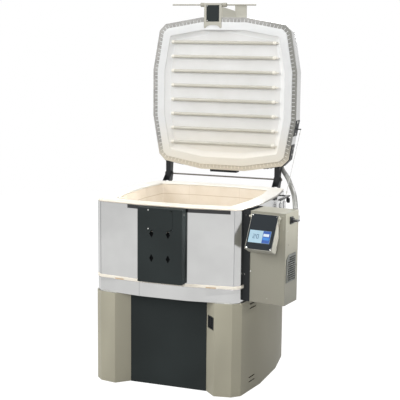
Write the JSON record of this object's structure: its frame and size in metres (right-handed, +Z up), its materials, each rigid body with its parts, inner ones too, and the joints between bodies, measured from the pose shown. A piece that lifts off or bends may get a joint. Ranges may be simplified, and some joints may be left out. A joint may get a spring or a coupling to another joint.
{
  "type": "glass kiln",
  "caption": "Top-opening square glass fusing kiln on a cabinet base, its lid raised on a rear hinge, with tube elements in the lid and a side control box.",
  "frame": {"origin": "on the floor, under the middle of the whole kiln's box, with the lid open", "axes": "+Z up, -Y is the front, +X is the side with the control box, seen from the front"},
  "size_m": [1.024, 0.9628, 1.8419],
  "materials": {
    "brushed_stainless": "brushed stainless sheet",
    "polished_stainless": "polished stainless sheet",
    "zinc_steel": "zinc-plated steel",
    "warm_grey_powder": "warm grey powder coat",
    "black_powder": "satin black powder coat",
    "firebrick": "insulating firebrick",
    "ceramic_fibre": "white ceramic fibre board",
    "quartz": "fused quartz tube with a wound element",
    "black_plastic": "moulded black plastic",
    "screen_glass": "lit touch screen",
    "spring_steel": "dark spring steel",
    "porcelain": "ceramic sheath"
  },
  "bodies": {
    "root": {"base_cabinet": "warm_grey_powder", "base_deck": "zinc_steel", "base_front_panel": "black_powder", "base_vent_grille": "black_plastic", "floor_pan": "polished_stainless", "floor_insulation": "ceramic_fibre", "floor_slab": "firebrick", "jacket_right": "brushed_stainless", "jacket_rear": "brushed_stainless", "jacket_left": "brushed_stainless", "jacket_front_left": "brushed_stainless", "jacket_front_right": "brushed_stainless", "brick_wall": "firebrick", "brick_top_course": "firebrick", "rim_blanket": "ceramic_fibre", "rim_strip": "black_powder", "front_cover": "black_powder", "front_plate": "black_powder", "thermocouple": "porcelain", "control_box": "warm_grey_powder", "control_box_plate": "warm_grey_powder", "box_standoff": "black_powder", "control_box_grille": "black_plastic", "relay": "black_plastic", "switch_plate": "black_plastic", "tilt_bracket": "warm_grey_powder", "hinge_bracket_left": "black_powder", "hinge_bracket_right": "black_powder", "hinge_rod": "zinc_steel", "stay_cable": "zinc_steel", "spring_front": "spring_steel", "spring_rear": "spring_steel", "spring_yoke": "black_powder", "spring_anchor": "black_powder", "conduit": "zinc_steel", "conduit_fitting_box": "zinc_steel"},
    "lid": {"lid_ring": "brushed_stainless", "lid_casing": "brushed_stainless", "lid_border": "ceramic_fibre", "lid_field": "ceramic_fibre", "quartz_tube_1": "quartz", "quartz_tube_2": "quartz", "quartz_tube_3": "quartz", "quartz_tube_4": "quartz", "quartz_tube_5": "quartz", "quartz_tube_6": "quartz", "quartz_tube_7": "quartz", "quartz_tube_8": "quartz", "hinge_arm_left": "black_powder", "hinge_arm_right": "black_powder", "handle_bracket": "warm_grey_powder", "handle_plate": "black_powder", "handle_bar": "zinc_steel", "lid_wiring_cover": "black_powder", "stay_bracket": "black_powder", "conduit_elbow": "zinc_steel"},
    "controller": {"controller_housing": "warm_grey_powder", "controller_face": "black_powder", "touch_screen": "screen_glass"},
    "switch": {"switch_knob": "black_plastic"}
  },
  "joints": [
    {"name": "lid_hinge", "type": "hinge", "parent": "root", "child": "lid", "pos_m": [-0.11054, 0.4006, 0.9261], "axis": [1, 0, 0], "range_deg": [0, 90], "deforming": ["stay_cable", "conduit"]},
    {"name": "controller_tilt", "type": "hinge", "parent": "root", "child": "controller", "pos_m": [0.36703, -0.3789, 0.862], "axis": [0.9904, -0.1379, 0], "range_deg": [-15, 0]},
    {"name": "power_switch", "type": "hinge", "parent": "root", "child": "switch", "pos_m": [0.47828, -0.32534, 0.848], "axis": [0.9904, -0.1379, 0], "range_deg": [0, 90]}
  ]
}
